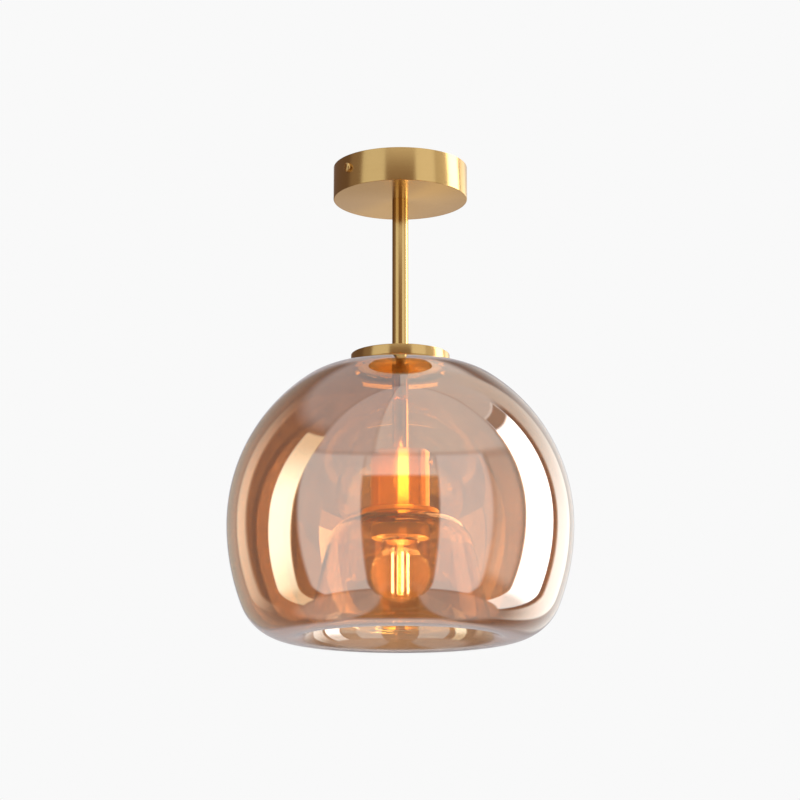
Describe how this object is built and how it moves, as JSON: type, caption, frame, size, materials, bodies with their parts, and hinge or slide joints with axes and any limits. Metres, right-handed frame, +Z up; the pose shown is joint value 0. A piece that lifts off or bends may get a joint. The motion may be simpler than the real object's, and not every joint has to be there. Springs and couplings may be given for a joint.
{
  "type": "semi flush ceiling light",
  "caption": "Semi flush ceiling light: brass canopy and rod carry a lampholder and bulb inside a rolled-in amber glass shade held by a threaded ring.",
  "frame": {"origin": "on the lamp's axis in the ceiling plane, at the middle of the bracket's two ceiling screws", "axes": "+Z up along the rod into the ceiling, -Y towards the viewer of the picture, +X to the viewer's right"},
  "size_m": [0.252, 0.252, 0.355],
  "materials": {
    "brushed_brass": "satin brass with fine lathe-turned brush lines",
    "polished_brass": "polished brass screw heads",
    "amber_glass": "blown amber glass with a faint mirror-like sheen",
    "clear_glass": "clear bulb glass",
    "filament": "warm glowing light strips",
    "nickel_brass": "nickel-plated thin metal",
    "dark_insulator": "dark glass insulator",
    "ceramic": "glazed white ceramic",
    "white_plastic": "moulded white terminal block",
    "clear_silicone": "translucent silicone",
    "zinc_steel": "zinc-plated steel",
    "board": "circuit board",
    "lead_brown": "silicone-insulated lead",
    "lead_blue": "silicone-insulated lead",
    "lead_green": "green and yellow earth lead"
  },
  "bodies": {
    "fixture": {"mounting_bracket": "zinc_steel", "earth_screw": "zinc_steel", "terminal_block": "white_plastic", "terminal_block_screws": "zinc_steel", "canopy": "brushed_brass", "canopy_side_screws": "polished_brass", "canopy_nipple": "zinc_steel", "canopy_washer": "zinc_steel", "canopy_lock_nut": "zinc_steel", "stem": "brushed_brass", "lampholder_cup": "brushed_brass", "cup_screw": "polished_brass", "cup_nipple": "zinc_steel", "cup_lock_nut": "zinc_steel", "insert_holder": "zinc_steel", "insert_screws": "zinc_steel", "ceramic_insert": "ceramic", "socket_shell": "nickel_brass", "centre_contact": "nickel_brass", "terminal_posts": "nickel_brass", "post_screws": "zinc_steel", "shade_carrier": "brushed_brass", "flange_gasket": "clear_silicone", "lead_line": "lead_brown", "lead_neutral": "lead_blue", "lead_earth": "lead_green"},
    "shade": {"glass_shade": "amber_glass", "glass_bell": "amber_glass"},
    "cover": {"top_cover": "brushed_brass", "cover_gasket": "clear_silicone"},
    "ring": {"shade_ring": "brushed_brass", "ring_gasket": "clear_silicone"},
    "bulb": {"bulb_glass": "clear_glass", "bulb_flare": "clear_glass", "bulb_filaments": "filament", "bulb_frame": "nickel_brass", "bulb_cap": "nickel_brass", "bulb_insulator": "dark_insulator", "bulb_tip": "nickel_brass", "bulb_driver": "board"}
  },
  "joints": [
    {"name": "shade_drop", "type": "slide", "parent": "fixture", "child": "shade", "axis": [0, 0, -1], "range_m": [0, 0.012]},
    {"name": "ring_turn", "type": "hinge", "parent": "shade", "child": "ring", "pos_m": [0, 0, -0.271], "axis": [0, 0, -1], "range_deg": [0, 2160]},
    {"name": "cover_lift", "type": "slide", "parent": "shade", "child": "cover", "axis": [0, 0, 1], "range_m": [0, 0.11]},
    {"name": "bulb_unscrew", "type": "slide", "parent": "fixture", "child": "bulb", "axis": [0, 0, -1], "range_m": [0, 0.03]}
  ],
  "couplings": [
    {"joint": "ring_turn", "follows": "shade_drop", "rad_per_m": 3141.6}
  ]
}
